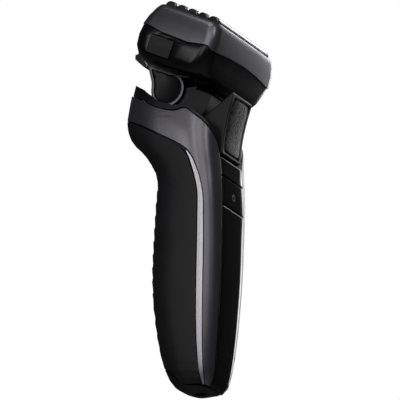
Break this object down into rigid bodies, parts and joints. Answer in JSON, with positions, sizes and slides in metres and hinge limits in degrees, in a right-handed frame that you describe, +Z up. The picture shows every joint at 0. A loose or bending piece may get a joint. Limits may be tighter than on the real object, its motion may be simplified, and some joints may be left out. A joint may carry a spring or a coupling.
{
  "type": "electric foil shaver",
  "caption": "Cordless foil shaver: contoured handle with rubber grip, power button, tilting head with floating foils, and a rear pop-up trimmer.",
  "frame": {"origin": "mouth of the charging socket, at the bottom of the handle", "axes": "+Z up the handle towards the shaving head, -Y the front with thumb rest and button, +Y the rear with the rubber grip, +X the user's left when the front faces the user"},
  "size_m": [0.0608, 0.0522, 0.1651],
  "materials": {
    "gunmetal": "satin dark metallic coat",
    "gloss_black": "gloss",
    "satin_black": "satin",
    "silver_trim": "satin",
    "grip_rubber": "matte",
    "pad_grain": "pebble grain",
    "steel": "brushed",
    "foil_steel": "perforated, polished",
    "arm_chrome": "satin",
    "cell_wrap": "shrink wrap",
    "board_green": "solder mask",
    "light_guide": "frosted",
    "iron_core": "sintered",
    "copper_wire": "enamelled",
    "seal_rubber": "matte"
  },
  "bodies": {
    "handle": {"chassis": "satin_black", "bowl_rim": "satin_black", "bulkhead": "satin_black", "side_band": "gunmetal", "trim_left": "silver_trim", "trim_right": "silver_trim", "rear_grip": "grip_rubber", "base_cap": "satin_black", "charge_socket": "satin_black", "charge_contact": "steel", "display_panel": "gloss_black", "upper_panel": "gloss_black", "thumb_housing": "gunmetal", "thumb_pad": "pad_grain", "battery": "cell_wrap", "circuit_board": "board_green", "display_light": "light_guide", "button_switch": "steel", "neck_bracket": "satin_black", "neck_screws": "steel"},
    "power_button": {"power_button": "gloss_black"},
    "neck": {"neck_arm": "arm_chrome", "neck_cowl": "gloss_black", "neck_axle": "steel"},
    "trimmer": {"trimmer_slide": "satin_black", "trimmer_comb": "steel"},
    "trimmer_blade": {"trimmer_blade": "steel"},
    "swivel": {"swivel_rocker": "satin_black", "swivel_clip": "steel"},
    "head": {"head_body": "gloss_black", "roll_pin": "steel", "release_springs": "steel", "motor_core": "iron_core", "motor_coil": "copper_wire", "drive_seal": "seal_rubber"},
    "release_left": {"release_left": "gloss_black"},
    "release_right": {"release_right": "gloss_black"},
    "drive_left": {"drive_left": "iron_core"},
    "drive_right": {"drive_right": "iron_core"},
    "cassette": {"foil_frame": "gunmetal", "foil_holder": "satin_black"},
    "blade_1": {"blade_1": "steel"},
    "foil_1": {"foil_1": "foil_steel"},
    "blade_2": {"blade_2": "steel"},
    "foil_2": {"foil_2": "foil_steel"},
    "blade_3": {"blade_3": "steel"},
    "foil_3": {"foil_3": "foil_steel"},
    "blade_4": {"blade_4": "steel"},
    "foil_4": {"foil_4": "foil_steel"},
    "blade_5": {"blade_5": "steel"},
    "foil_5": {"foil_5": "foil_steel"}
  },
  "joints": [
    {"name": "power_press", "type": "slide", "parent": "handle", "child": "power_button", "axis": [0, 1, 0], "range_m": [0, 0.0005], "stiffness_N_per_m": 1500, "springref_m": -0.0002},
    {"name": "head_tilt", "type": "hinge", "parent": "handle", "child": "neck", "pos_m": [0, 0.0095, 0.1312], "axis": [1, 0, 0], "range_deg": [-10, 10], "stiffness_Nm_per_rad": 4},
    {"name": "trimmer_lift", "type": "slide", "parent": "neck", "child": "trimmer", "axis": [0, 0.342, 0.9397], "range_m": [0, 0.008]},
    {"name": "trimmer_cut", "type": "slide", "parent": "trimmer", "child": "trimmer_blade", "axis": [1, 0, 0], "range_m": [-0.0008, 0.0008]},
    {"name": "head_twist", "type": "hinge", "parent": "neck", "child": "swivel", "pos_m": [0, 0.00246, 0.13711], "axis": [0, -0.4384, 0.8988], "range_deg": [-6, 6], "stiffness_Nm_per_rad": 3},
    {"name": "head_roll", "type": "hinge", "parent": "swivel", "child": "head", "pos_m": [0, 0.00136, 0.13936], "axis": [0, 0.8988, 0.4384], "range_deg": [-6, 6], "stiffness_Nm_per_rad": 3},
    {"name": "release_left_press", "type": "slide", "parent": "head", "child": "release_left", "axis": [1, 0, 0], "range_m": [0, 0.0012], "stiffness_N_per_m": 900, "springref_m": -0.0003},
    {"name": "release_right_press", "type": "slide", "parent": "head", "child": "release_right", "axis": [-1, 0, 0], "range_m": [0, 0.0012], "stiffness_N_per_m": 900, "springref_m": -0.0003},
    {"name": "motor_left", "type": "slide", "parent": "head", "child": "drive_left", "axis": [1, 0, 0], "range_m": [-0.0012, 0.0012], "stiffness_N_per_m": 2000},
    {"name": "motor_right", "type": "slide", "parent": "head", "child": "drive_right", "axis": [1, 0, 0], "range_m": [-0.0012, 0.0012]},
    {"name": "cassette_lift", "type": "slide", "parent": "head", "child": "cassette", "axis": [0, -0.4384, 0.8988], "range_m": [0, 0.025]},
    {"name": "foil_1_float", "type": "slide", "parent": "cassette", "child": "foil_1", "axis": [0, -0.4384, 0.8988], "range_m": [-0.0012, 0], "stiffness_N_per_m": 700, "springref_m": 0.0005},
    {"name": "foil_2_float", "type": "slide", "parent": "cassette", "child": "foil_2", "axis": [0, -0.4384, 0.8988], "range_m": [-0.0012, 0], "stiffness_N_per_m": 700, "springref_m": 0.0005},
    {"name": "foil_3_float", "type": "slide", "parent": "cassette", "child": "foil_3", "axis": [0, -0.4384, 0.8988], "range_m": [-0.0012, 0], "stiffness_N_per_m": 700, "springref_m": 0.0005},
    {"name": "foil_4_float", "type": "slide", "parent": "cassette", "child": "foil_4", "axis": [0, -0.4384, 0.8988], "range_m": [-0.0012, 0], "stiffness_N_per_m": 700, "springref_m": 0.0005},
    {"name": "foil_5_float", "type": "slide", "parent": "cassette", "child": "foil_5", "axis": [0, -0.4384, 0.8988], "range_m": [-0.0012, 0], "stiffness_N_per_m": 700, "springref_m": 0.0005},
    {"name": "blade_1_float", "type": "slide", "parent": "drive_left", "child": "blade_1", "axis": [0, -0.4384, 0.8988], "range_m": [-0.0012, 0]},
    {"name": "blade_2_float", "type": "slide", "parent": "drive_right", "child": "blade_2", "axis": [0, -0.4384, 0.8988], "range_m": [-0.0012, 0]},
    {"name": "blade_3_float", "type": "slide", "parent": "drive_left", "child": "blade_3", "axis": [0, -0.4384, 0.8988], "range_m": [-0.0012, 0]},
    {"name": "blade_4_float", "type": "slide", "parent": "drive_right", "child": "blade_4", "axis": [0, -0.4384, 0.8988], "range_m": [-0.0012, 0]},
    {"name": "blade_5_float", "type": "slide", "parent": "drive_left", "child": "blade_5", "axis": [0, -0.4384, 0.8988], "range_m": [-0.0012, 0]}
  ],
  "couplings": [
    {"joint": "motor_right", "follows": "motor_left", "ratio": -1},
    {"joint": "trimmer_cut", "follows": "motor_left", "ratio": 0.6666},
    {"joint": "blade_1_float", "follows": "foil_1_float", "ratio": 1},
    {"joint": "blade_2_float", "follows": "foil_2_float", "ratio": 1},
    {"joint": "blade_3_float", "follows": "foil_3_float", "ratio": 1},
    {"joint": "blade_4_float", "follows": "foil_4_float", "ratio": 1},
    {"joint": "blade_5_float", "follows": "foil_5_float", "ratio": 1}
  ]
}
